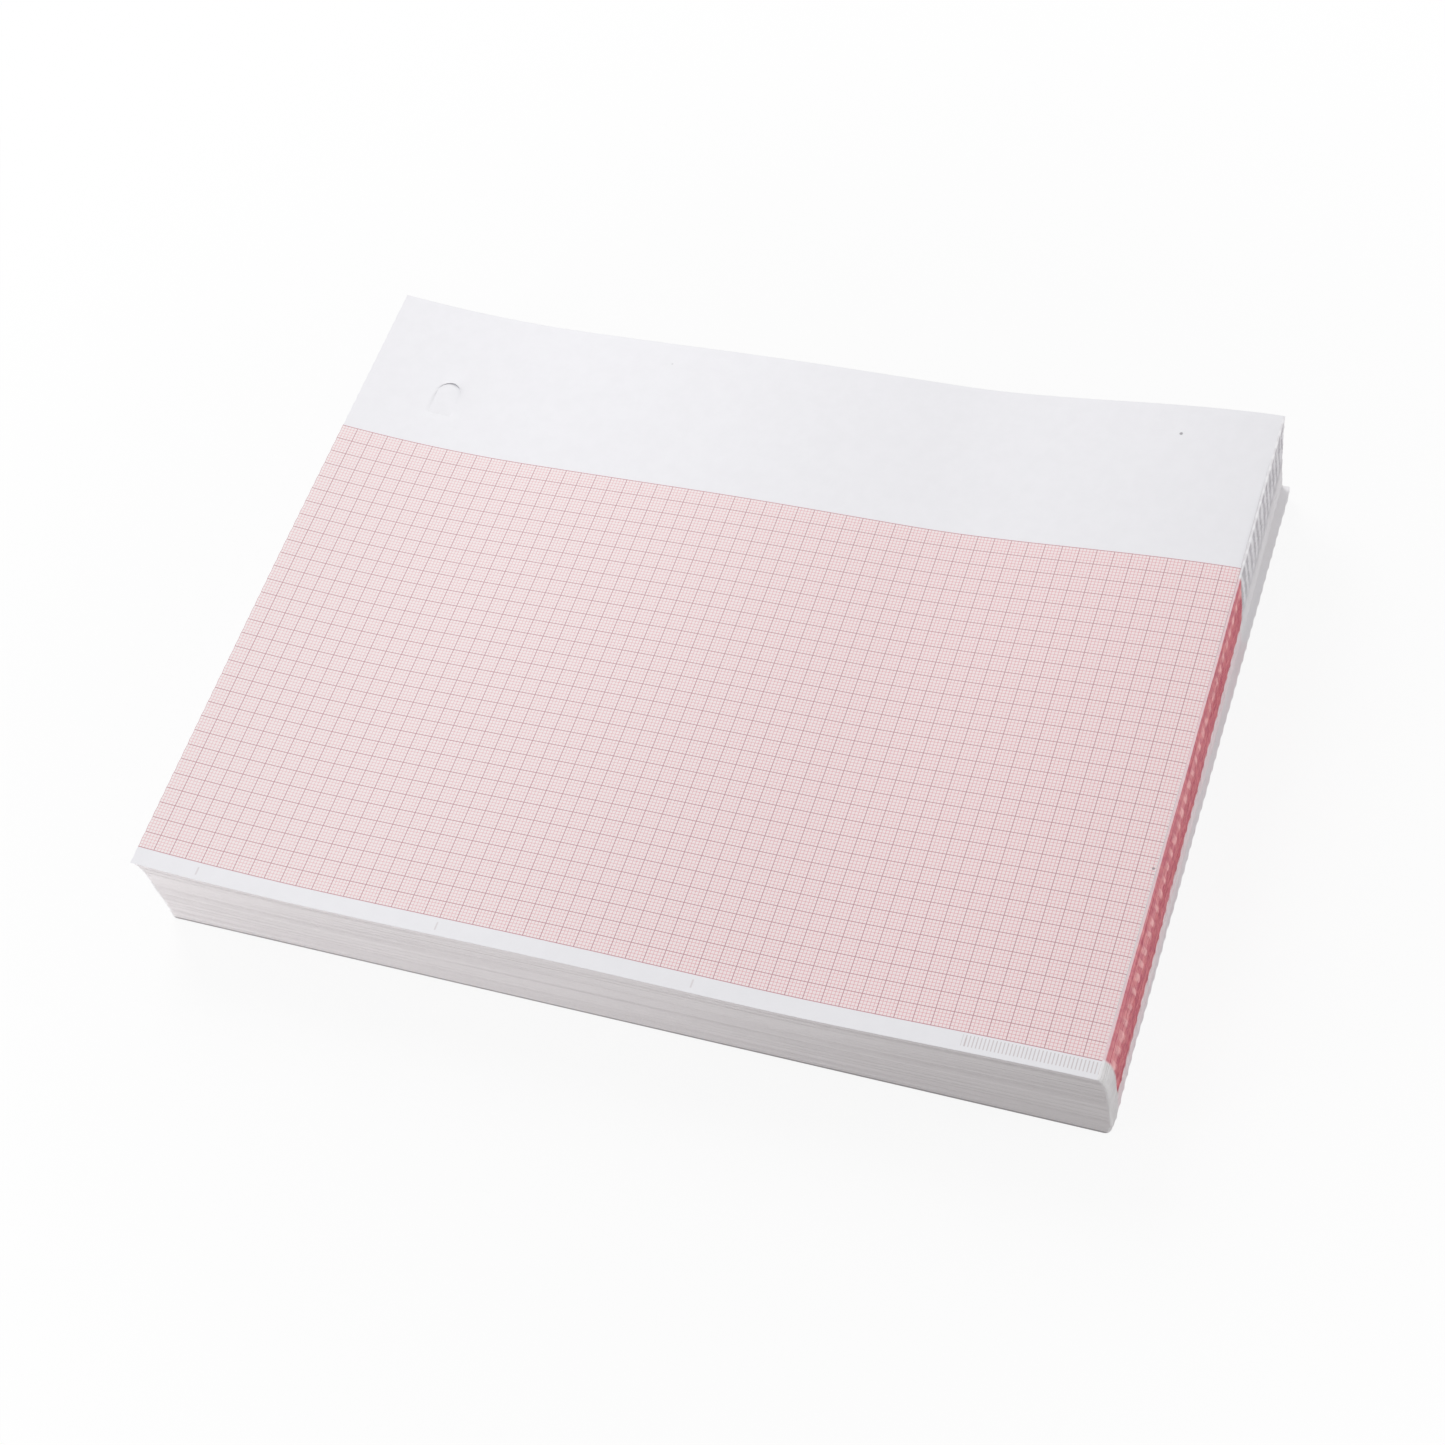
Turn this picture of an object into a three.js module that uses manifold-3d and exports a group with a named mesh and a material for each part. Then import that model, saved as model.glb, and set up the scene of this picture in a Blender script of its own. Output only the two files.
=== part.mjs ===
// Z-fold recording chart paper: one long perforated web, folded back and forth into a flat pack
// of 300 leaves, with a pink measuring grid printed on one side of the web.
//
// Millimetres, +Z up. The pack rests on its underside at z = 0, centred on x = 0 and y = 0, and
// its folds run along Y. The cut edges of the web face -Y (front) and +Y (back). The free end of
// the top leaf is at -X, so the folds at +X turn the printed side of the web outward, and those
// at -X turn its plain back outward.

import * as THREE from "three";
import { mergeVertices } from "three/addons/utils/BufferGeometryUtils.js";
import Module from "manifold-3d";

// Web
const LEAF_LENGTH = 280; // from fold to fold
const PAPER_WIDTH = 215; // from cut edge to cut edge
const LEAF_COUNT = 300;
const LEAF_PITCH = 0.092; // one leaf and the air that lies under it

// Print, measured across the web
const GRID_SQUARE = 5;
const GRID_ROWS = 31;
const FRONT_MARGIN = 5.5; // plain strip between the front cut edge and the grid

// Folds
const FOLD_GROOVE = 0.3; // how deep two neighbouring folds are parted
const FOLD_LAND = 0.4; // share of a fold's height that is its outermost strip
const FOLD_SCATTER = 0.12; // how far a fold stands in or out of line

// Height of the settled pack. A fold is thicker than two flat leaves, so the ends stand high.
const BACK_RISE = 1.5; // extra height along the back cut edge
const MIDDLE_SWELL = 0.9; // low hump across the middle
const SWELL_PLACE = 132; // from the free end of the top leaf to the crown of the hump
const SWELL_REACH = 45;
const LEFT_RISE_FRONT = 2.9; // extra height at the free end of the top leaf
const LEFT_RISE_BACK = 5.6;
const LEFT_RISE_RUN = 61; // length over which the left end rises
const RIGHT_RISE_FRONT = 3.3; // extra height at the first fold
const RIGHT_RISE_BACK = 7.7;
const RIGHT_RISE_RUN = 95;

// Leaves that have slipped sideways
const BODY_SLIP_FRONT = 3.8; // how far the body lies to the right of the top leaf
const BODY_SLIP_BACK = 2.2;
const SLIP_DEPTH = 8; // height over which the uppermost leaves step across
const BUNDLE_LEAVES = 40; // lowest leaves, which are turned the other way
const BUNDLE_SLIP_FRONT = -0.3;
const BUNDLE_SLIP_BACK = 2.6;
const FOOT_INSET = 1.6; // how far the lowest folds are tucked in
const FOOT_DEPTH = 6; // height over which they are

// Arched slot, die-cut through the top leaf
const SLOT_WIDTH = 7.5;
const SLOT_LENGTH = 12.5;
const SLOT_FROM_FREE_END = 27; // to the middle of the slot
const SLOT_FROM_BACK = 29.5; // from the back cut edge to the crown of the arch

// Facets
const TOP_STEPS = 24; // along the top leaf
const ARCH_STEPS = 12;

const { clamp, lerp, smoothstep } = THREE.MathUtils;

const packHeight = LEAF_COUNT * LEAF_PITCH; // of the pack before it settles
const halfLeaf = LEAF_LENGTH / 2;
const headerLine = FRONT_MARGIN + GRID_ROWS * GRID_SQUARE; // back border of the grid

// Lines across the web where the print changes, and the middle of the grid between them
const stations = [0, FRONT_MARGIN, (FRONT_MARGIN + headerLine) / 2, headerLine, PAPER_WIDTH];

// Height of a rounded corner: 0 where it leaves the straight and 1 at its end.
function roundOff(t) {
  return 1 - Math.sqrt(1 - clamp(t, 0, 1) ** 2);
}

// Height of the settled pack at x, at a share of the way from the front to the back.
function settledHeight(x, share) {
  const swell = Math.exp(-(((x + halfLeaf - SWELL_PLACE) / SWELL_REACH) ** 2));
  const left = Math.max(0, LEFT_RISE_RUN - halfLeaf - x) / LEFT_RISE_RUN;
  const right = smoothstep(x, halfLeaf - RIGHT_RISE_RUN, halfLeaf);
  return (
    packHeight +
    BACK_RISE * share +
    MIDDLE_SWELL * swell +
    lerp(LEFT_RISE_FRONT, LEFT_RISE_BACK, share) * left ** 2 +
    lerp(RIGHT_RISE_FRONT, RIGHT_RISE_BACK, share ** 2) * right
  );
}

// Slip toward +X of the leaf that lies at height z.
function slip(z, share) {
  const uppermost = roundOff(1 - (packHeight - z) / SLIP_DEPTH);
  const body = lerp(BODY_SLIP_FRONT, BODY_SLIP_BACK, share) * (1 - uppermost);
  const inBundle = z < BUNDLE_LEAVES * LEAF_PITCH;
  return inBundle ? body + lerp(BUNDLE_SLIP_FRONT, BUNDLE_SLIP_BACK, share) : body;
}

// Where a point of the flat pack, at the distance y from the front cut edge, lies once settled.
function settle(x, y, z) {
  const share = y / PAPER_WIDTH;
  const tuck = FOOT_INSET * roundOff(1 - z / FOOT_DEPTH) * (x / halfLeaf);
  const height = (z * settledHeight(x, share)) / packHeight;
  return new THREE.Vector3(x - tuck + slip(z, share), y - PAPER_WIDTH / 2, height);
}

// Outline of one end of the flat pack, from the top down. Two leaves share each fold. A leaf
// that is left over at the top or the bottom ends in a plain edge.
function endOutline(side, topLeafIsFree) {
  const points = [];
  let leaf = 0;
  while (leaf < LEAF_COUNT) {
    const isFree = (leaf === 0 && topLeafIsFree) || LEAF_COUNT - leaf < 2;
    const leaves = isFree ? 1 : 2;
    const top = packHeight - leaf * LEAF_PITCH;
    const bottom = top - leaves * LEAF_PITCH;
    const shoulder = isFree ? 0 : ((1 - FOLD_LAND) / 2) * (top - bottom);
    const reach = side * (halfLeaf + (isFree ? 0 : FOLD_SCATTER * Math.sin(leaf * leaf)));
    points.push([reach, top - shoulder], [reach, bottom + shoulder]);
    leaf += leaves;
    if (leaf < LEAF_COUNT) points.push([side * (halfLeaf - FOLD_GROOVE), bottom]);
  }
  return points;
}

// Flat top at a height, from the +X end to the -X end, without its two end points.
function topOutline(height) {
  const points = [];
  for (let i = 1; i < TOP_STEPS; i++) points.push([halfLeaf - (i * LEAF_LENGTH) / TOP_STEPS, height]);
  return points;
}

// Section of the flat pack across its folds, counter-clockwise seen from the front.
function packSection() {
  const underside = [halfLeaf - FOLD_GROOVE, 0];
  const topLeaf = [halfLeaf - FOLD_GROOVE, packHeight];
  const leftEnd = endOutline(-1, true);
  const rightEnd = endOutline(1, false).reverse();
  return [...leftEnd, underside, ...rightEnd, topLeaf, ...topOutline(packHeight)];
}

// Section of a plain block that reaches up to the underside of the top leaf.
function blockSection() {
  const height = packHeight - LEAF_PITCH;
  return [[-halfLeaf, 0], [halfLeaf, 0], [halfLeaf, height], ...topOutline(height), [-halfLeaf, height]];
}

// Closed body through a section that is settled at every station.
function settledLoft(section) {
  const rows = stations.map((y) => section.map(([x, z]) => settle(x, y, z)));
  const count = section.length;
  const last = (rows.length - 1) * count;
  const faces = [];
  for (let row = 0; row < last; row += count) {
    for (let i = 0; i < count; i++) {
      const next = (i + 1) % count;
      faces.push(row + i, row + count + i, row + count + next);
      faces.push(row + i, row + count + next, row + next);
    }
  }
  const outlineOf = (row) => row.map((point) => new THREE.Vector2(point.x, point.z));
  for (const [a, b, c] of THREE.ShapeUtils.triangulateShape(outlineOf(rows[0]), [])) {
    faces.push(a, b, c);
  }
  for (const [a, b, c] of THREE.ShapeUtils.triangulateShape(outlineOf(rows.at(-1)), [])) {
    faces.push(last + a, last + c, last + b);
  }
  const geometry = new THREE.BufferGeometry().setFromPoints(rows.flat());
  geometry.setIndex(faces);
  return geometry;
}

// Upright prism on the outline of the slot, with the crown of its arch toward the back.
function slotPrism() {
  const radius = SLOT_WIDTH / 2;
  const outline = new THREE.Shape();
  outline.moveTo(-radius, radius - SLOT_LENGTH);
  outline.lineTo(radius, radius - SLOT_LENGTH);
  outline.absarc(0, 0, radius, 0, Math.PI, false);
  outline.closePath();
  const prism = new THREE.ExtrudeGeometry(outline, {
    depth: 2 * packHeight,
    curveSegments: ARCH_STEPS,
    bevelEnabled: false,
  });
  const crown = PAPER_WIDTH / 2 - SLOT_FROM_BACK;
  return prism.translate(SLOT_FROM_FREE_END - halfLeaf, crown - radius, packHeight / 2);
}

const wasm = await Module();
wasm.setup();

function toSolid(geometry) {
  geometry.deleteAttribute("normal");
  geometry.deleteAttribute("uv");
  const merged = mergeVertices(geometry);
  const vertProperties = merged.getAttribute("position").array;
  const triVerts = Uint32Array.from(merged.getIndex().array);
  return new wasm.Manifold(new wasm.Mesh({ numProp: 3, vertProperties, triVerts }));
}

function toGeometry(solid) {
  const { vertProperties, triVerts } = solid.getMesh();
  const geometry = new THREE.BufferGeometry();
  geometry.setAttribute("position", new THREE.BufferAttribute(vertProperties, 3));
  geometry.setIndex(new THREE.BufferAttribute(triVerts, 1));
  return geometry;
}

// Whether a face lies in the printed grid. The underside does too, because the lowest of an even
// number of leaves lies face down. Only the narrow faces of the folds at -X show the plain back.
function showsGrid(a, b, c) {
  const normal = new THREE.Triangle(a, b, c).getNormal(new THREE.Vector3());
  const fromFront = (a.y + b.y + c.y) / 3 + PAPER_WIDTH / 2;
  const inGrid = fromFront > FRONT_MARGIN && fromFront < headerLine;
  const onCutEdge = Math.abs(normal.y) > Math.SQRT1_2;
  const width = Math.max(a.x, b.x, c.x) - Math.min(a.x, b.x, c.x);
  const onLeftFold = a.x < 0 && width < LEAF_LENGTH / TOP_STEPS / 2;
  return inGrid && !onCutEdge && !onLeftFold;
}

// Sorts the faces into two groups: plain paper first, then the grid.
function groupByPrint(geometry) {
  const corners = geometry.getIndex().array;
  const plain = [];
  const grid = [];
  for (let i = 0; i < corners.length; i += 3) {
    const face = Array.from(corners.subarray(i, i + 3));
    const points = face.map((k) => new THREE.Vector3().fromBufferAttribute(geometry.getAttribute("position"), k));
    (showsGrid(...points) ? grid : plain).push(...face);
  }
  geometry.setIndex([...plain, ...grid]);
  geometry.addGroup(0, plain.length, 0);
  geometry.addGroup(plain.length, grid.length, 1);
}

// The slot goes through the top leaf alone, because the next leaf carries its own at the other end.
function chartPaper() {
  const block = toSolid(settledLoft(blockSection()));
  const slot = toSolid(slotPrism()).subtract(block);
  const geometry = toGeometry(toSolid(settledLoft(packSection())).subtract(slot));
  geometry.computeBoundingBox();
  const middle = geometry.boundingBox.getCenter(new THREE.Vector3());
  groupByPrint(geometry);
  geometry.translate(-middle.x, 0, 0);
  const paper = new THREE.MeshStandardMaterial({ color: 0xeceaee, roughness: 0.8, flatShading: true });
  const print = new THREE.MeshStandardMaterial({ color: 0xf1d3d7, roughness: 0.8, flatShading: true });
  const mesh = new THREE.Mesh(geometry, [paper, print]);
  mesh.name = "chart_paper";
  return mesh;
}

const pack = new THREE.Group();
pack.name = "z_fold_pack";
pack.add(chartPaper());

export default pack;
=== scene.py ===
"""A pack of z-fold recording chart paper on a pale floor: leaves, folds, print and light."""

import math
import random

import bmesh
import bpy
from mathutils import Euler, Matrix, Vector

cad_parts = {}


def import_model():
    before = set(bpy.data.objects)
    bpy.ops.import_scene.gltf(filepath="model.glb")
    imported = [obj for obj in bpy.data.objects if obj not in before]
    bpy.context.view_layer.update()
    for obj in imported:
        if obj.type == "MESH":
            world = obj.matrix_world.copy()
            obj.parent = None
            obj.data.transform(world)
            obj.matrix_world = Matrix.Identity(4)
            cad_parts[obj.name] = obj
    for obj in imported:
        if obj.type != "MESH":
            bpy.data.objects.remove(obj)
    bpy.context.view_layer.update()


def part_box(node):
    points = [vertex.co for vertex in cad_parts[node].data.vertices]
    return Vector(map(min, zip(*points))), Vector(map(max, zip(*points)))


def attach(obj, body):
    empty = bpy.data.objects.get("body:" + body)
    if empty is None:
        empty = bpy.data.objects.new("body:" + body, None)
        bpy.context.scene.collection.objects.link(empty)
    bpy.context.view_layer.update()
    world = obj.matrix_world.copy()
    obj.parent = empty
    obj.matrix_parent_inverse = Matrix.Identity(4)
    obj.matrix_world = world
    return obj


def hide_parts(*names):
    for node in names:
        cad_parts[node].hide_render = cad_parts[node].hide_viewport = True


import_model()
low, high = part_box("chart_paper")
rng = random.Random(7)

MM = 0.001
SAME_PLACE = 0.0001 * MM

# The web, as it was folded
LEAF_LENGTH = 280 * MM
PAPER_WIDTH = high[1] - low[1]
LEAVES = 300
LEAF_PITCH = 0.092 * MM
LEAF_THICKNESS = 0.08 * MM
PACK_HEIGHT = LEAVES * LEAF_PITCH
PERFORATION_PITCH = 25.4 / 6 * MM

# The print
SQUARE = 5 * MM
GRID_ROWS = 31
FRONT_MARGIN = 5.5 * MM
HEADER_LINE = FRONT_MARGIN + GRID_ROWS * SQUARE

# How the pack has settled, close to the solid. Pairs go from the front of the pack to its back
BACK_RISE = 1.5 * MM
MIDDLE_SWELL = 0.9 * MM
SWELL_PLACE = 132 * MM
SWELL_REACH = 45 * MM
LEFT_RISE = (2.9 * MM, 5.6 * MM)
LEFT_RISE_RUN = 61 * MM
RIGHT_RISE = (3.3 * MM, 7.7 * MM)
RIGHT_RISE_RUN = 95 * MM
BODY_SLIP = (3.8 * MM, 2.2 * MM)
BODY_SLIP_AT_FOLDS = 0.82
SLIP_DEPTH = 8 * MM
BUNDLE_LEAVES = 40
BUNDLE_SLIP = (-0.3 * MM, 2.6 * MM)
TOP_REACH = (0.2 * MM, 2.3 * MM)
TOP_REACH_RUN = 80 * MM
TOP_DRAW = 1.1 * MM
TOP_DRAW_RUN = 110 * MM
PRINT_DRIFT = (0, 1.6 * MM)

# How far the foot is tucked in at the left and at the right
FOOT_INSET = (0.5 * MM, 1.6 * MM)
FOOT_DEPTH = 6 * MM

# The slot in the top leaf
SLOT_WIDTH = 7.5 * MM
SLOT_LENGTH = 12.5 * MM
SLOT_FROM_FREE_END = 27 * MM
SLOT_FROM_BACK = 29.5 * MM

# The folds
FOLD_GROOVE = 0.3 * MM
FOLD_SCATTER = 0.12 * MM
FOLD_BAND = 1.1 * MM

# A crest is flat over a share of its fold and wavers along it, in waves of so many millimetres
CREST_SHARE = 0.4
CREST_WAVES = (20, 60)

# The perforation's ties lean over the height of the pack, and stand least proud at its top
TIE_PROUD = 0.22 * MM
TIE_LEAN = 7 * MM
TIED_LEAVES = 25
LEAST_PROUD = 0.15


def between(pair, share):
    return pair[0] + (pair[1] - pair[0]) * share


def clamp(t, least=0.0, most=1.0):
    return max(least, min(most, t))


def round_off(t):
    """0 where a rounded corner leaves the straight, 1 at its end."""
    return 1 - math.sqrt(1 - clamp(t) ** 2)


def settled_height(along, share):
    """Height of the pack at a distance from the free end, at a share of the way to the back."""
    swell = math.exp(-(((along - SWELL_PLACE) / SWELL_REACH) ** 2))
    left = max(0.0, LEFT_RISE_RUN - along) / LEFT_RISE_RUN
    right = clamp((along - LEAF_LENGTH) / RIGHT_RISE_RUN + 1)
    right = right * right * (3 - 2 * right)
    return (
        PACK_HEIGHT
        + BACK_RISE * share
        + MIDDLE_SWELL * swell
        + between(LEFT_RISE, share) * left**2
        + between(RIGHT_RISE, share**2) * right
    )


def toward_folds(along):
    """0 over most of a leaf, rising to 1 at its first fold."""
    return clamp((along - LEAF_LENGTH) / TOP_REACH_RUN + 1) ** 2


def top_shift(along, share):
    """How the uppermost leaves lie off the rest: on to the right at the folds, in at the front left."""
    drawn = clamp(1 - along / TOP_DRAW_RUN) * clamp(1 - share * PAPER_WIDTH / TOP_DRAW_RUN)
    return between(TOP_REACH, share) * toward_folds(along) + TOP_DRAW * drawn


def slip(along, level, share):
    """Sideways slip of the leaf at a height of the flat pack."""
    uppermost = round_off(1 - (PACK_HEIGHT - level) / SLIP_DEPTH)
    body = between(BODY_SLIP, share) * between((1, BODY_SLIP_AT_FOLDS), along / LEAF_LENGTH)
    offset = body * (1 - uppermost) + top_shift(along, share) * uppermost
    if level < BUNDLE_LEAVES * LEAF_PITCH:
        offset += between(BUNDLE_SLIP, share)
    return offset


def settle(along, across, level):
    """Where a point of the flat pack lies, from its distances from the free end and the front."""
    share = clamp(across / PAPER_WIDTH)
    inset = between((-FOOT_INSET[0], FOOT_INSET[1]), along / LEAF_LENGTH)
    tuck = inset * round_off(1 - level / FOOT_DEPTH)
    x = low[0] + along - tuck + slip(along, level, share)
    z = level / PACK_HEIGHT * settled_height(clamp(along, 0, LEAF_LENGTH), share)
    return Vector((x, low[1] + across, z))


def shaped_grid(columns, rows, place, pattern):
    """Grid of faces with each corner (i, j) moved to place(i, j), and mapped to pattern(i, j)."""
    bm = bmesh.new()
    bmesh.ops.create_grid(bm, x_segments=columns, y_segments=rows, size=1)
    corner = {}
    for vert in bm.verts:
        column = round((vert.co.x + 1) / 2 * columns)
        row = round((vert.co.y + 1) / 2 * rows)
        corner[vert] = (column, row)
    layer = bm.loops.layers.uv.new("leaves")
    for face in bm.faces:
        for loop in face.loops:
            loop[layer].uv = pattern(*corner[loop.vert])
    for vert, (i, j) in corner.items():
        vert.co = place(i, j)
    return bm, corner


def weld(bm):
    """Joins the corners that lie in the same place, where a grid comes round to itself."""
    bmesh.ops.remove_doubles(bm, verts=bm.verts[:], dist=SAME_PLACE)


def cap_ends(bm, pattern):
    """Fills the two open ends of a sleeve with the second material, mapped by place."""
    layer = bm.loops.layers.uv.active
    rim = [e for e in bm.edges if e.is_boundary]
    caps = bmesh.ops.edgeloop_fill(bm, edges=rim)["faces"]
    caps = bmesh.ops.triangulate(bm, faces=caps, ngon_method="EAR_CLIP")["faces"]
    for face in caps:
        face.material_index = 1
        for loop in face.loops:
            loop[layer].uv = pattern(loop.vert.co)


SHARP_ANGLE = math.radians(35)


def finish_piece(name, bm, *materials):
    """Turns a bmesh into a piece of the pack, faces outward, that rides with it."""
    bmesh.ops.recalc_face_normals(bm, faces=bm.faces)
    if bm.calc_volume(signed=True) < 0:
        bmesh.ops.reverse_faces(bm, faces=bm.faces)
    for edge in bm.edges:
        edge.smooth = not edge.is_manifold or edge.calc_face_angle() < SHARP_ANGLE
    mesh = bpy.data.meshes.new(name)
    bm.to_mesh(mesh)
    bm.free()
    for material in materials:
        mesh.materials.append(material)
    piece = bpy.data.objects.new(name, mesh)
    bpy.context.scene.collection.objects.link(piece)
    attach(piece, "root")
    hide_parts("chart_paper")


# Materials


def add(tree, kind, *inputs, output=0, **settings):
    """New node whose inputs take values or sockets in turn. Returns one of its outputs."""
    node = tree.nodes.new(kind)
    for key, value in settings.items():
        setattr(node, key, value)
    for socket, value in zip(node.inputs, inputs):
        if isinstance(value, bpy.types.NodeSocket):
            tree.links.new(value, socket)
        elif value is not None:
            socket.default_value = value
    return node.outputs[output]


def math_node(tree, operation, *inputs):
    return add(tree, "ShaderNodeMath", *inputs, operation=operation)


def ramp(tree, value, start, stop, first=0.0, last=1.0):
    """Smooth step of a value from first at start to last at stop."""
    limits = (start, stop, first, last)
    return add(tree, "ShaderNodeMapRange", value, *limits, interpolation_type="SMOOTHSTEP")


def mix(tree, factor, first, second, blend="MIX"):
    node = tree.nodes.new("ShaderNodeMix")
    node.data_type = "RGBA"
    node.blend_type = blend
    for name, value in (("Factor_Float", factor), ("A_Color", first), ("B_Color", second)):
        socket = next(s for s in node.inputs if s.identifier == name)
        if isinstance(value, bpy.types.NodeSocket):
            tree.links.new(value, socket)
        else:
            socket.default_value = value
    return next(s for s in node.outputs if s.identifier == "Result_Color")


def noise(tree, vector, scale, detail, roughness):
    return add(tree, "ShaderNodeTexNoise", vector, None, scale, detail, roughness)


def line_mask(tree, value, spacing, width):
    """1 on the lines that repeat at a spacing, 0 between them."""
    away = math_node(tree, "PINGPONG", value, spacing / 2)
    return ramp(tree, away, width * INK_EDGE[0], width * INK_EDGE[1], 1.0, 0.0)


def band_mask(tree, value, start, stop, feather):
    """1 between two places, 0 outside them."""
    rise = ramp(tree, value, start - feather, start + feather)
    fall = ramp(tree, value, stop - feather, stop + feather, 1.0, 0.0)
    return math_node(tree, "MULTIPLY", rise, fall)


def flat_place(tree, x, y):
    return add(tree, "ShaderNodeCombineXYZ", x, y, 0.0)


def grey(tree, shade):
    return add(tree, "ShaderNodeCombineColor", shade, shade, shade)


def leaf_map(tree):
    """The two coordinates of the piece's own map."""
    split = tree.nodes.new("ShaderNodeSeparateXYZ")
    tree.links.new(add(tree, "ShaderNodeUVMap", uv_map="leaves"), split.inputs[0])
    return split.outputs["X"], split.outputs["Y"]


# Colours of the paper and the inks

WHITE_PAPER = (0.86, 0.855, 0.885, 1)
CUT_PAPER = (0.83, 0.79, 0.80, 1)
# Painted shadow along the foot of the cut edges, where the pack meets the floor
FOOT_SHADOW_GREY = (0.30, 0.28, 0.29, 1)
FINE_LINE = (0.76, 0.36, 0.40, 1)
HEAVY_LINE = (0.54, 0.27, 0.31, 1)
# The grid's pink is print; its paler tint toward the free end is painted sheen
GRID_TINT_PALED_BY_SHEEN = (0.884, 0.806, 0.806, 1)
GRID_TINT_RIGHT = (0.896, 0.772, 0.777, 1)
RULER_LINE = (0.52, 0.44, 0.44, 1)
DARK_DOT = (0.22, 0.21, 0.23, 1)
DEEP_PINK = (0.59, 0.135, 0.20, 1)
WARM_PINK = (0.73, 0.25, 0.28, 1)
PALE_PINK = (0.86, 0.71, 0.74, 1)
BEAD_PINK = (0.97, 0.60, 0.60, 1)
FOLD_GREY = (0.87, 0.85, 0.86, 1)
MARGIN_GREY = (0.80, 0.785, 0.79, 1)
FOLD_END = (0.88, 0.86, 0.87, 1)
FOLD_WHITE = (0.88, 0.87, 0.89, 1)
FOLD_LIGHT = (0.97, 0.97, 0.97, 1)
FOLD_SHADOW = (0.74, 0.73, 0.75, 1)
RETURN_FOLD_SHADOW = (0.85, 0.84, 0.855, 1)

# Paper surface: how rough it is, and the scale, detail and roughness of its noises
SHEET_ROUGHNESS = 0.55
FOLD_ROUGHNESS = 0.75
CUT_ROUGHNESS = 0.8
PAPER_SPECULAR = 0.35
FIBRES = (5200.0, 4.0, 0.65)
FIBRE_BUMP = 0.25
FIBRE_HEIGHT = 0.02 * MM
CLOUDS = (220.0, 3.0, 0.6)
CLOUD_MIDDLE = (0.25, 0.75)
PLAIN_CLOUDING = 0.03
PRINT_CLOUDING = 0.02

# A printed line is solid to the first share of its width and gone at the second
INK_EDGE = (0.35, 0.65)

# The print, in millimetres from the free end and from the front
FINE_PITCH = 1
FINE_WIDTH = 0.14
HEAVY_PITCH = SQUARE / MM
HEAVY_WIDTH = 0.24
HEAVY_END = (278.2, 279.0)
GRID_OVERLAP = 0.15
GRID_FEATHER = 0.03
GRID_END = (280.5, 281.0)
GRID_PAST_END = 0.15
# Painted sheen: the grid's tint paler and its fine lines fainter toward the free end
TINT_AND_SHEEN_RUN = (60.0, 300.0)
PAINTED_SHEEN_ON_LINES = (0.8, 1.1)
RULER_SPAN = (244, 280.2)
RULER_DEPTH = (1.5, 4.8)
RULER_DEPTH_FEATHER = 0.1
RULER_SPAN_FEATHER = 0.2
RULER_WIDTH = 0.3
RULER_STRENGTH = 0.62
MARK_START = 20
MARK_PITCH = 75
MARK_DEPTH = (1.5, 4.0)
MARK_FEATHER = 0.2
MARK_WIDTH = 0.5
MARK_STRENGTH = 0.35

# A dot is solid to the first share of its radius and gone at the second
DOT_EDGE = (0.6, 1.3)

# The registration dot and two flecks: place on the sheet, radius, strength
DOTS = (
    ((253.6, 204.6, 0.0), 0.5, 0.75),
    ((279.2, 62.3, 0.0), 0.4, 0.75),
    ((93.6, 207.0, 0.0), 0.35, 0.2),
)

# Cut edges: noises, the least brightness that each cause leaves, the painted shade in the gaps between
# leaves and toward the right end, and the painted shadow along the foot
MIDDLE_OF_NOISE = (0.3, 0.7)
STREAK_DRAW = 6.0
BROAD_STREAKS = (0.12, 3.0, 0.7)
BROAD_SHADE = 0.975
NARROW_STREAKS = (0.9, 2.0, 0.6)
NARROW_SHADE = 0.97
# Painted shade in the gaps between leaves
LEAF_GAP_WIDTH = 0.3
LEAF_GAP_SHADE = 0.8
# Painted shade: the cut edges darker toward the right end
PAINTED_RIGHT_SHADE_RUN = (0.45, 1.05)
PAINTED_RIGHT_SHADE = 0.84
# Painted shadow: the lowest leaves darkened along the foot
FOOT_SHADOW_LEVEL = (0.02, 0.034)
FOOT_SHADOW_STRENGTH = 0.8

# Folds: levels as shares of the pack's height, widths in millimetres
WAVER_RISE = 9.0
WAVER = (0.35, 1.0, 0.5)
WAVER_MIDDLE = (0.2, 0.8)
WAVER_REACH = 0.7
TIE_EDGE = (0.5, 1.5)
CREST_DRAW = 0.05
CREST_STREAKS = (0.7, 3.0, 0.7)
SHADOW_RISE = (0.3, 0.6)
STROKE_RISE = (0.4, 0.62)
FAINTEST_STROKE = 0.12
BARE_CREST = (0.994, 0.998)
BARENESS = 0.6
PINK_SHORT_OF_HEADER = 3.5
PINK_FEATHER = 0.8
PINK_RAGGEDNESS = 0.09
PINK_RISE = (0.44, 0.49)
PALE_BAND = (0.14, 0.5, 0.1)
MOTTLE_RISE = 0.06
MOTTLE = (0.45, 3.0, 0.6)
MOTTLE_MIDDLE = (0.35, 0.65)
STREAK_WARMTH = 0.3
BEAD_BAND = (0.82, 0.93, 0.04)
BEAD_EDGE = (0.2, 0.9)
LEAST_BEAD = 0.25
DULLEST_BEAD = 0.65
MARGIN_FEATHER = 0.5


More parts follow.
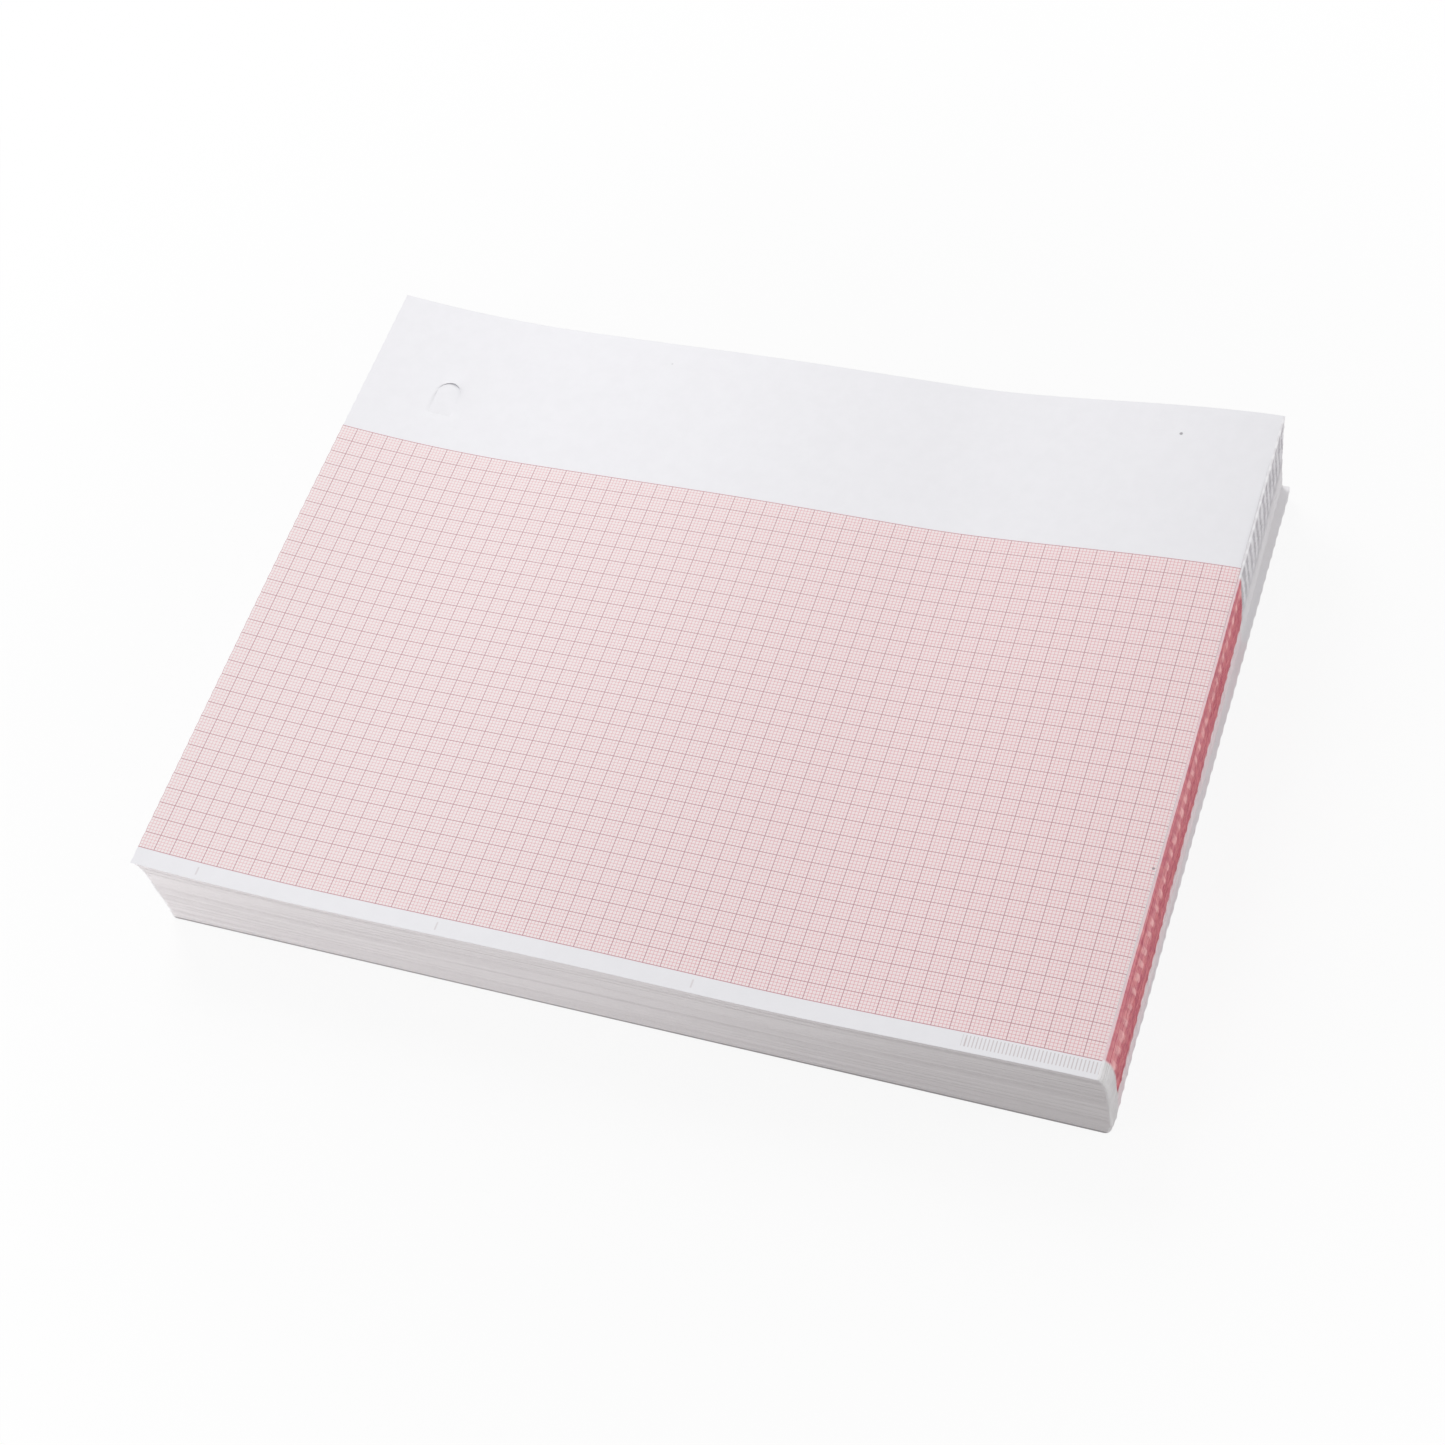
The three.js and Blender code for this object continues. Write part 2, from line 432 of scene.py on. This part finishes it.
def paper_material(name, roughness):
    """Empty paper finish: a fibrous surface that waits for its colour."""
    material = bpy.data.materials.new(name)
    material.use_nodes = True
    tree = material.node_tree
    shader = tree.nodes["Principled BSDF"]
    shader.inputs["Roughness"].default_value = roughness
    shader.inputs["Specular IOR Level"].default_value = PAPER_SPECULAR
    place = add(tree, "ShaderNodeTexCoord", output="Object")
    bump = tree.nodes.new("ShaderNodeBump")
    bump.inputs["Strength"].default_value = FIBRE_BUMP
    bump.inputs["Distance"].default_value = FIBRE_HEIGHT
    tree.links.new(noise(tree, place, *FIBRES), bump.inputs["Height"])
    tree.links.new(bump.outputs["Normal"], shader.inputs["Normal"])
    return material, tree, shader, place


def clouded(tree, place, colour, amount):
    """Colour with the faint cloudiness of paper against the light."""
    shade = ramp(tree, noise(tree, place, *CLOUDS), *CLOUD_MIDDLE, 1 - amount, 1.0)
    return mix(tree, 1.0, colour, grey(tree, shade), "MULTIPLY")


def plain_paper():
    material, tree, shader, place = paper_material("plain_paper", SHEET_ROUGHNESS)
    colour = clouded(tree, place, WHITE_PAPER, PLAIN_CLOUDING)
    tree.links.new(colour, shader.inputs["Base Color"])
    return material


def grid_print(tree, place, along, across):
    """White sheet with the tinted grid on it: fine lines, and heavy ones round every square, with a
    painted sheen that pales the tint and the fine lines toward the free end.
    """
    up = math_node(tree, "SUBTRACT", across, FRONT_MARGIN / MM)
    grid_depth = (HEADER_LINE - FRONT_MARGIN) / MM
    zone = band_mask(tree, up, -GRID_OVERLAP, grid_depth + GRID_OVERLAP, GRID_FEATHER)
    zone = math_node(tree, "MULTIPLY", zone, ramp(tree, along, *GRID_END, 1.0, GRID_PAST_END))
    # Print tint, paled toward the free end by painted sheen
    tint_and_sheen = mix(tree, ramp(tree, along, *TINT_AND_SHEEN_RUN), GRID_TINT_PALED_BY_SHEEN, GRID_TINT_RIGHT)
    colour = mix(tree, zone, clouded(tree, place, WHITE_PAPER, PRINT_CLOUDING), tint_and_sheen)

    fine_along = line_mask(tree, along, FINE_PITCH, FINE_WIDTH)
    fine_up = line_mask(tree, up, FINE_PITCH, FINE_WIDTH)
    fine = math_node(tree, "MAXIMUM", fine_along, fine_up)
    # Painted sheen: the fine lines fainter toward the free end
    sheen_on_lines = ramp(tree, along, 0.0, LEAF_LENGTH / MM, *PAINTED_SHEEN_ON_LINES)
    fine = math_node(tree, "MULTIPLY", fine, sheen_on_lines)
    colour = mix(tree, math_node(tree, "MULTIPLY", fine, zone), colour, FINE_LINE)

    heavy_along = line_mask(tree, along, HEAVY_PITCH, HEAVY_WIDTH)
    before_fold = ramp(tree, along, *HEAVY_END, 1.0, 0.0)
    heavy_along = math_node(tree, "MULTIPLY", heavy_along, before_fold)
    heavy_up = line_mask(tree, up, HEAVY_PITCH, HEAVY_WIDTH)
    heavy = math_node(tree, "MAXIMUM", heavy_along, heavy_up)
    return mix(tree, math_node(tree, "MULTIPLY", heavy, zone), colour, HEAVY_LINE)


def printed_sheet():
    """Header strip, grid, front margin with its ruler and marks, and the dot by the first fold."""
    material, tree, shader, place = paper_material("printed_sheet", SHEET_ROUGHNESS)
    u, v = leaf_map(tree)
    along = math_node(tree, "MULTIPLY", u, 1 / MM)
    across = math_node(tree, "MULTIPLY", v, 1 / MM)
    colour = grid_print(tree, place, along, across)

    ruler = line_mask(tree, along, FINE_PITCH, RULER_WIDTH)
    ruler = math_node(tree, "MULTIPLY", ruler, band_mask(tree, across, *RULER_DEPTH, RULER_DEPTH_FEATHER))
    ruler = math_node(tree, "MULTIPLY", ruler, band_mask(tree, along, *RULER_SPAN, RULER_SPAN_FEATHER))
    colour = mix(tree, math_node(tree, "MULTIPLY", ruler, RULER_STRENGTH), colour, RULER_LINE)
    from_first_mark = math_node(tree, "SUBTRACT", along, MARK_START)
    mark = line_mask(tree, from_first_mark, MARK_PITCH, MARK_WIDTH)
    mark = math_node(tree, "MULTIPLY", mark, band_mask(tree, across, *MARK_DEPTH, MARK_FEATHER))
    colour = mix(tree, math_node(tree, "MULTIPLY", mark, MARK_STRENGTH), colour, RULER_LINE)

    here = flat_place(tree, along, across)
    for spot, radius, strength in DOTS:
        away = add(tree, "ShaderNodeVectorMath", here, spot, operation="DISTANCE", output="Value")
        dot = ramp(tree, away, radius * DOT_EDGE[0], radius * DOT_EDGE[1], strength, 0.0)
        colour = mix(tree, dot, colour, DARK_DOT)
    tree.links.new(colour, shader.inputs["Base Color"])
    return material


def cut_edges(name, paper):
    """The cut edges of the leaves: fine streaks that follow the leaves, painted shade in the gaps between
    leaves and toward the right end, and a painted shadow along the foot.
    """
    material, tree, shader, _ = paper_material(name, CUT_ROUGHNESS)
    along, level = leaf_map(tree)
    leaf = math_node(tree, "MULTIPLY", level, float(LEAVES))
    drawn = flat_place(tree, math_node(tree, "MULTIPLY", along, STREAK_DRAW), leaf)
    broad = ramp(tree, noise(tree, drawn, *BROAD_STREAKS), *MIDDLE_OF_NOISE, BROAD_SHADE, 1.0)
    narrow = ramp(tree, noise(tree, drawn, *NARROW_STREAKS), *MIDDLE_OF_NOISE, NARROW_SHADE, 1.0)
    # Painted shade in the gaps between the leaves
    painted_gap_shade = ramp(tree, line_mask(tree, leaf, 1, LEAF_GAP_WIDTH), 0.0, 1.0, 1.0, LEAF_GAP_SHADE)
    # Painted shade: darker toward the right end
    painted_right_shade = ramp(tree, along, *PAINTED_RIGHT_SHADE_RUN, 1.0, PAINTED_RIGHT_SHADE)
    shade = math_node(tree, "MULTIPLY", broad, narrow)
    shade = math_node(tree, "MULTIPLY", shade, painted_gap_shade)
    shade = math_node(tree, "MULTIPLY", shade, painted_right_shade)
    colour = mix(tree, 1.0, paper, grey(tree, shade), "MULTIPLY")
    # Painted shadow: the lowest leaves darkened along the foot, where the pack meets the floor
    painted_foot_shadow = ramp(tree, level, *FOOT_SHADOW_LEVEL, FOOT_SHADOW_STRENGTH, 0.0)
    tree.links.new(mix(tree, painted_foot_shadow, colour, FOOT_SHADOW_GREY), shader.inputs["Base Color"])
    return material


def wrapped_print(tree, colour, across, level, streak, tie):
    """Lays the pink of the print over the folds: deep in the upper leaves, pale in the lower ones."""
    margin = FRONT_MARGIN / MM
    zone = band_mask(tree, across, margin, HEADER_LINE / MM - PINK_SHORT_OF_HEADER, PINK_FEATHER)
    leaf = math_node(tree, "MULTIPLY", level, float(LEAVES))
    mottle_place = flat_place(tree, across, math_node(tree, "MULTIPLY", leaf, MOTTLE_RISE))
    mottle = ramp(tree, noise(tree, mottle_place, *MOTTLE), *MOTTLE_MIDDLE)
    pink = mix(tree, mottle, DEEP_PINK, WARM_PINK)
    pink = mix(tree, math_node(tree, "MULTIPLY", streak, STREAK_WARMTH), pink, BEAD_PINK)

    beads = ramp(tree, tie, *BEAD_EDGE, LEAST_BEAD, 1.0)
    beads = math_node(tree, "MULTIPLY", beads, band_mask(tree, level, *BEAD_BAND))
    beads = math_node(tree, "MULTIPLY", beads, ramp(tree, mottle, 0.0, 1.0, DULLEST_BEAD, 1.0))
    pink = mix(tree, beads, pink, BEAD_PINK)

    pale = mix(tree, streak, PALE_PINK, FOLD_GREY)
    pale_zone = math_node(tree, "MULTIPLY", zone, band_mask(tree, level, *PALE_BAND))
    colour = mix(tree, pale_zone, colour, pale)
    ragged = math_node(tree, "MULTIPLY_ADD", streak, PINK_RAGGEDNESS, level)
    pink_zone = math_node(tree, "MULTIPLY", zone, ramp(tree, ragged, *PINK_RISE))
    colour = mix(tree, pink_zone, colour, pink)
    bare = ramp(tree, across, margin - MARGIN_FEATHER, margin + MARGIN_FEATHER, 1.0, 0.0)
    return mix(tree, bare, colour, MARGIN_GREY)


def fold_material(name, printed, shadow):
    """The folds seen from outside: the strokes of the perforation's ties, and the print if any."""
    material, tree, shader, _ = paper_material(name, FOLD_ROUGHNESS)
    u, level = leaf_map(tree)
    across = math_node(tree, "MULTIPLY", u, PAPER_WIDTH / MM)
    leaf = math_node(tree, "MULTIPLY", level, float(LEAVES))

    lean = math_node(tree, "MULTIPLY", level, TIE_LEAN / MM)
    waver_place = flat_place(tree, across, math_node(tree, "MULTIPLY", level, WAVER_RISE))
    waver = noise(tree, waver_place, *WAVER)
    waver = ramp(tree, waver, *WAVER_MIDDLE, -WAVER_REACH, WAVER_REACH)
    phase = math_node(tree, "ADD", across, lean)
    phase = math_node(tree, "ADD", phase, waver)
    away = math_node(tree, "PINGPONG", phase, PERFORATION_PITCH / MM / 2)
    tie = ramp(tree, away, *TIE_EDGE, 1.0, 0.0)

    crest_place = flat_place(tree, math_node(tree, "MULTIPLY", across, CREST_DRAW), leaf)
    streak = ramp(tree, noise(tree, crest_place, *CREST_STREAKS), *MIDDLE_OF_NOISE)
    colour = mix(tree, streak, FOLD_GREY, FOLD_WHITE)
    shade = mix(tree, ramp(tree, level, *SHADOW_RISE), FOLD_LIGHT, shadow)
    colour = mix(tree, 1.0, colour, shade, "MULTIPLY")
    strokes = math_node(tree, "MULTIPLY", tie, ramp(tree, level, *STROKE_RISE, FAINTEST_STROKE, 1.0))
    colour = mix(tree, strokes, colour, FOLD_WHITE)
    if printed:
        colour = wrapped_print(tree, colour, across, level, streak, tie)
    bare = ramp(tree, level, *BARE_CREST, 0.0, BARENESS)
    tree.links.new(mix(tree, bare, colour, FOLD_WHITE), shader.inputs["Base Color"])
    return material


sheet_finish = printed_sheet()
plain_finish = plain_paper()
# Both cut-edge finishes carry the painted shade and the painted shadow along the foot
edge_finish = cut_edges("cut_edges", CUT_PAPER)
fold_end_finish = cut_edges("fold_ends", FOLD_END)
first_fold_finish = fold_material("printed_folds", True, FOLD_SHADOW)
return_fold_finish = fold_material("plain_folds", False, RETURN_FOLD_SHADOW)


# The leaves under the top one

STACK_LEAVES = LEAVES - 1
STACK_COLUMNS = 56
STACK_TOP_ROWS = 24
SECOND_LEAF_DROP = 0.08 * MM
EDGE_JITTER = 0.04 * MM
BUNDLE_JITTER = 0.045 * MM
BUNDLE_SIZES = (6, 28)
EDGE_WAVE = 190 * MM
EDGE_SWING = 0.5
CORE_END = 0.7 * MM


def edge_insets():
    """How far each leaf's cut edge stands back, in small bundles that were cut together."""
    insets = []
    while len(insets) < STACK_LEAVES:
        bundle = rng.uniform(0, BUNDLE_JITTER)
        wave = rng.uniform(0, 1)
        for _ in range(rng.randint(*BUNDLE_SIZES)):
            insets.append((bundle + rng.uniform(0, EDGE_JITTER), wave))
    return insets[:STACK_LEAVES]


def stack_outline():
    """Corners round the stack seen from its end: share of the width, leaves below, and inset."""
    front = edge_insets()
    back = edge_insets()
    outline = []
    for leaf, edge in enumerate(front):
        outline += [(0, leaf, edge), (0, leaf + 1, edge)]
    for row in range(1, STACK_TOP_ROWS):
        outline.append((row / STACK_TOP_ROWS, STACK_LEAVES, None))
    for leaf in reversed(range(STACK_LEAVES)):
        outline += [(1, leaf + 1, back[leaf]), (1, leaf, back[leaf])]
    return outline


def leaf_stack():
    """Everything under the top leaf, between the folds: cut edges, plain top, printed underside."""
    outline = stack_outline()
    around = len(outline)
    first = CORE_END
    last = LEAF_LENGTH - CORE_END
    inner = [first + (last - first) * k / STACK_COLUMNS for k in range(STACK_COLUMNS + 1)]
    stations = [first, *inner, last]

    def place(i, j):
        share, leaf, edge = outline[i % around]
        along = stations[j]
        across = PAPER_WIDTH * share
        if edge:
            depth, wave = edge
            swing = math.sin(2 * math.pi * (along / EDGE_WAVE + wave))
            inset = depth * (1 + EDGE_SWING * swing)
            across += inset if share == 0 else -inset
        if j in (0, len(stations) - 1):
            across = PAPER_WIDTH / 2
        point = settle(along, across, leaf * LEAF_PITCH)
        if leaf == STACK_LEAVES:
            point.z -= SECOND_LEAF_DROP
        return point

    def pattern(i, j):
        return (stations[j] / LEAF_LENGTH, outline[i % around][1] / LEAVES)

    bm, corner = shaped_grid(around, len(stations) - 1, place, pattern)
    layer = bm.loops.layers.uv.active
    top_start = 2 * STACK_LEAVES - 1
    top_stop = top_start + STACK_TOP_ROWS
    for face in bm.faces:
        columns = [corner[v][0] for v in face.verts]
        on_top = top_start <= min(columns) and max(columns) <= top_stop
        underneath = min(columns) == around - 1
        face.material_index = 1 if on_top else 2 if underneath else 0
        face.smooth = on_top
        if underneath:
            for loop in face.loops:
                i, j = corner[loop.vert]
                loop[layer].uv = (stations[j], 0.0 if i == around else PAPER_WIDTH)
    weld(bm)
    finish_piece("leaf_stack", bm, edge_finish, plain_finish, sheet_finish)


# The fold ends

# How far from its two ends a fold's rounding lies, and how deep it is there
CORNER_ROUND = ((0.05 * MM, 0.5 * MM), (0.2 * MM, 0.22 * MM), (0.5 * MM, 0.06 * MM))
ROUNDED_LENGTH = 1.0 * MM
STATIONS_TO_A_TIE = 4
TOP_GROOVE_DROP = 0.2
INNER_LEVELS = (1.0, 0.97, 0.93, 0.88, 0.8, 0.65, 0.45, 0.25, 0.15, 0.08, 0.0)


def fold_stations():
    """Places along a fold: close together at its two ends, and even between them."""
    ends = [depth for depth, _ in CORNER_ROUND]
    straight = PAPER_WIDTH - 2 * ROUNDED_LENGTH
    count = round(straight / (PERFORATION_PITCH / STATIONS_TO_A_TIE))
    middle = [ROUNDED_LENGTH + straight * k / count for k in range(count + 1)]
    return ends + middle + [PAPER_WIDTH - depth for depth in reversed(ends)]


def fold_outline(lowest_is_free, top_level):
    """Corners round an end of the pack: leaves below, reach past the fold line, and crest wave."""
    outline = []
    leaf = 0
    while leaf < top_level:
        leaves = 1 if leaf == 0 and lowest_is_free else 2
        shoulder = (1 - CREST_SHARE) / 2 * leaves
        scatter = rng.uniform(-FOLD_SCATTER, FOLD_SCATTER)
        start = rng.uniform(0, 1)
        length = rng.uniform(*CREST_WAVES) * MM
        wave = (scatter, start, length)
        outline.append((leaf, -FOLD_GROOVE, None))
        outline.append((leaf + shoulder, 0, wave))
        outline.append((leaf + leaves - shoulder, 0, wave))
        leaf += leaves
    outline.append((top_level - TOP_GROOVE_DROP, -FOLD_GROOVE, None))
    inner_top = STACK_LEAVES - SECOND_LEAF_DROP / LEAF_PITCH
    outline += [(share * inner_top, -FOLD_BAND, None) for share in INNER_LEVELS]
    return outline


def fold_end(name, side, lowest_is_free, top_level, finish):
    """One end of the pack: every fold as its own ridge, parted from the next by a groove."""
    outline = fold_outline(lowest_is_free, top_level)
    around = len(outline)
    stations = fold_stations()

    def place(i, j):
        leaf, reach, wave = outline[i % around]
        across = stations[j]
        if wave:
            scatter, start, length = wave
            reach += scatter * (1 + math.sin(2 * math.pi * (across / length + start)))
            phase = (across + TIE_LEAN * leaf / LEAVES) / PERFORATION_PITCH
            proud = TIE_PROUD * clamp((LEAVES - leaf) / TIED_LEAVES, LEAST_PROUD)
            reach += proud * max(0.0, math.cos(2 * math.pi * phase))
        from_end = min(j, len(stations) - 1 - j)
        if reach > -FOLD_BAND and from_end < len(CORNER_ROUND):
            reach -= CORNER_ROUND[from_end][1]
        along = LEAF_LENGTH / 2 + side * (LEAF_LENGTH / 2 + reach)
        return settle(along, across, leaf * LEAF_PITCH)

    def pattern(i, j):
        return (stations[j] / PAPER_WIDTH, outline[i % around][0] / LEAVES)

    def cap_pattern(point):
        along = point.x - low[0]
        share = clamp((point.y - low[1]) / PAPER_WIDTH)
        height = settled_height(clamp(along, 0, LEAF_LENGTH), share)
        return (along / LEAF_LENGTH, point.z / height)

    bm, _ = shaped_grid(around, len(stations) - 1, place, pattern)
    weld(bm)
    cap_ends(bm, cap_pattern)
    finish_piece(name, bm, finish, fold_end_finish)


# The top leaf

TOP_COLUMNS = 140
TOP_ROWS = 102
TORN_DEPTH = 0.15 * MM
RIM_LIFT = 0.36 * MM
RIM_REACH = 3.4 * MM
RIM_LIFT_PLACE = Vector((1.6, -0.8)) * MM
RIM_TILT = (-0.1 * MM, 0.24 * MM)
RIM_SPAN = (-0.1, 1.1)
ARCH_SIDES = 14


def slot_outline(crown):
    """Corners of the arched slot under its crown, counter-clockwise seen from above."""
    radius = SLOT_WIDTH / 2
    foot = crown.y - SLOT_LENGTH
    corners = [(crown.x - radius, foot), (crown.x + radius, foot)]
    for k in range(ARCH_SIDES + 1):
        angle = math.pi * k / ARCH_SIDES
        y = crown.y - radius + radius * math.sin(angle)
        corners.append((crown.x + radius * math.cos(angle), y))
    return corners


def cut_slot(bm, crown):
    """Cuts the slot's outline into the sheet, side by side, and takes out what lies within."""
    corners = slot_outline(crown)
    inside = [f for f in bm.faces if (f.calc_center_median().xy - crown).length < 2 * SLOT_LENGTH]
    for (x0, y0), (x1, y1) in zip(corners, corners[1:] + corners[:1]):
        outward = Vector((y1 - y0, x0 - x1, 0)).normalized()
        start = Vector((x0, y0, 0))
        verts = dict.fromkeys(v for f in inside for v in f.verts)
        edges = dict.fromkeys(e for f in inside for e in f.edges)
        cut = bmesh.ops.bisect_plane(
            bm,
            geom=[*verts, *edges, *inside],
            dist=SAME_PLACE,
            plane_co=start,
            plane_no=outward,
        )
        faces = [g for g in cut["geom"] if isinstance(g, bmesh.types.BMFace)]
        inside = [f for f in faces if (f.calc_center_median() - start).xy.dot(outward.xy) < 0]
    bmesh.ops.delete(bm, geom=inside, context="FACES")


def tilt_rim(bm, crown):
    """Presses the slot's rim down at the left and lifts it at the right, toward the crown."""
    for vert in bm.verts:
        beside = (vert.co.x - crown.x) / SLOT_WIDTH
        up = (vert.co.y - crown.y) / SLOT_LENGTH + 1
        if vert.is_boundary and abs(beside) < 1 and RIM_SPAN[0] < up < RIM_SPAN[1]:
            vert.co.z += between(RIM_TILT, clamp(0.5 + beside) * clamp(up))


def top_leaf():
    """The printed leaf on top, with its torn free end and its slot."""
    crown = Vector((low[0] + SLOT_FROM_FREE_END, low[1] + PAPER_WIDTH - SLOT_FROM_BACK))

    def place(i, j):
        along = LEAF_LENGTH * i / TOP_COLUMNS
        across = PAPER_WIDTH * j / TOP_ROWS
        point = settle(along, across, PACK_HEIGHT - LEAF_PITCH + LEAF_THICKNESS)
        point.x = low[0] + along + top_shift(along, across / PAPER_WIDTH)
        if i == 0 and j % 2:
            point.x += TORN_DEPTH
        if i == TOP_COLUMNS:
            point.z -= LEAF_THICKNESS
        away = (point.xy - crown - RIM_LIFT_PLACE).length / RIM_REACH
        point.z += RIM_LIFT * math.exp(-(away**2))
        return point

    def pattern(i, j):
        along = LEAF_LENGTH * i / TOP_COLUMNS
        share = j / TOP_ROWS
        run_on = between(TOP_REACH, share) - between(PRINT_DRIFT, share)
        return (along + run_on * toward_folds(along), PAPER_WIDTH * share)

    bm, _ = shaped_grid(TOP_COLUMNS, TOP_ROWS, place, pattern)
    cut_slot(bm, crown)
    tilt_rim(bm, crown)
    for face in bm.faces:
        face.smooth = True
    bmesh.ops.recalc_face_normals(bm, faces=bm.faces)
    bmesh.ops.solidify(bm, geom=bm.faces[:], thickness=LEAF_THICKNESS)
    finish_piece("top_leaf", bm, sheet_finish)


leaf_stack()
fold_end("first_folds", 1, False, LEAVES, first_fold_finish)
fold_end("return_folds", -1, True, STACK_LEAVES, return_fold_finish)
top_leaf()


# Floor, world, lights and camera

FLOOR_SIZE = 6.0
FLOOR_COLOUR = (0.82, 0.82, 0.82, 1)
FLOOR_ROUGHNESS = 0.9
FLOOR_SPECULAR = 0.1

# The floor's white glow: from where to where it grows, in metres, and its share at each
FLOOR_WHITENING = (0.12, 0.4, 0.88, 1.0)
WORLD_LIGHT = 0.57
WHITE = (1, 1, 1, 1)

# Place, aim, size in metres and power in watts of each lamp
LAMPS = {
    "key": ((-0.55, 0.68, 0.8), (0, 0, 0), 0.6, 6.4),
    "left_fill": ((-0.42, -0.42, 0.12), (-0.1, -0.1, 0.02), 0.2, 1.0),
    "right_fill": ((0.75, 0.0, 0.12), (0.14, 0, 0.02), 0.25, 1.4),
}

CAMERA_TARGET = Vector((4.4, -16.3, 15.15)) * MM
CAMERA_DISTANCE = 744.7 * MM
CAMERA_AZIMUTH = math.radians(31.76)
CAMERA_ELEVATION = math.radians(54.82)
CAMERA_ROLL = math.radians(-16.0)
CAMERA_LENS = 64.5
CAMERA_SENSOR = 36
CAMERA_NEAREST = 0.01


def plainly_seen(tree):
    """1 where the camera sees the background, also in a mirror or through glass, 0 as a light."""
    path = tree.nodes.new("ShaderNodeLightPath").outputs
    mirrored = math_node(tree, "MAXIMUM", path["Is Glossy Ray"], path["Is Transmission Ray"])
    return math_node(tree, "MAXIMUM", path["Is Camera Ray"], mirrored)


def floor():
    """Pale floor that keeps the pack's shadow near it and goes to white away from it."""
    bm = bmesh.new()
    bmesh.ops.create_grid(bm, x_segments=1, y_segments=1, size=FLOOR_SIZE / 2)
    mesh = bpy.data.meshes.new("floor")
    bm.to_mesh(mesh)
    bm.free()
    material = bpy.data.materials.new("pale_floor")
    material.use_nodes = True
    tree = material.node_tree
    shader = tree.nodes["Principled BSDF"]
    shader.inputs["Base Color"].default_value = FLOOR_COLOUR
    shader.inputs["Roughness"].default_value = FLOOR_ROUGHNESS
    shader.inputs["Specular IOR Level"].default_value = FLOOR_SPECULAR
    glow = add(tree, "ShaderNodeEmission", WHITE, 1.0)
    ground = add(tree, "ShaderNodeTexCoord", output="Object")
    away = add(tree, "ShaderNodeVectorMath", ground, operation="LENGTH", output="Value")
    whitened = ramp(tree, away, *FLOOR_WHITENING)
    share = math_node(tree, "MULTIPLY", plainly_seen(tree), whitened)
    both = add(tree, "ShaderNodeMixShader", share, shader.outputs[0], glow)
    tree.links.new(both, tree.nodes["Material Output"].inputs["Surface"])
    mesh.materials.append(material)
    stage = bpy.data.objects.new("floor", mesh)
    bpy.context.scene.collection.objects.link(stage)


def world():
    """White where it is seen, dimmer as a light."""
    sky = bpy.data.worlds.new("soft_white")
    bpy.context.scene.world = sky
    sky.use_nodes = True
    tree = sky.node_tree
    strength = ramp(tree, plainly_seen(tree), 0.0, 1.0, WORLD_LIGHT, 1.0)
    background = tree.nodes["Background"]
    background.inputs["Color"].default_value = WHITE
    tree.links.new(strength, background.inputs["Strength"])


def area_light(name, place, target, size, power):
    data = bpy.data.lights.new(name, "AREA")
    data.shape = "SQUARE"
    data.size = size
    data.energy = power
    lamp = bpy.data.objects.new(name, data)
    lamp.location = place
    lamp.visible_camera = False
    lamp.rotation_euler = (Vector(target) - Vector(place)).to_track_quat("-Z", "Y").to_euler()
    bpy.context.scene.collection.objects.link(lamp)


def camera():
    data = bpy.data.cameras.new("camera")
    data.lens = CAMERA_LENS
    data.sensor_width = CAMERA_SENSOR
    data.clip_start = CAMERA_NEAREST
    lens = bpy.data.objects.new("camera", data)
    turn = Euler((math.pi / 2 - CAMERA_ELEVATION, 0, CAMERA_AZIMUTH)).to_matrix()
    roll = Euler((0, 0, CAMERA_ROLL)).to_matrix()
    view = turn @ roll
    lens.location = CAMERA_TARGET + view @ Vector((0, 0, CAMERA_DISTANCE))
    lens.rotation_euler = view.to_euler()
    bpy.context.scene.collection.objects.link(lens)
    bpy.context.scene.camera = lens


floor()
world()
for lamp_name, lamp in LAMPS.items():
    area_light(lamp_name, *lamp)
camera()
bpy.context.scene.view_settings.view_transform = "Standard"
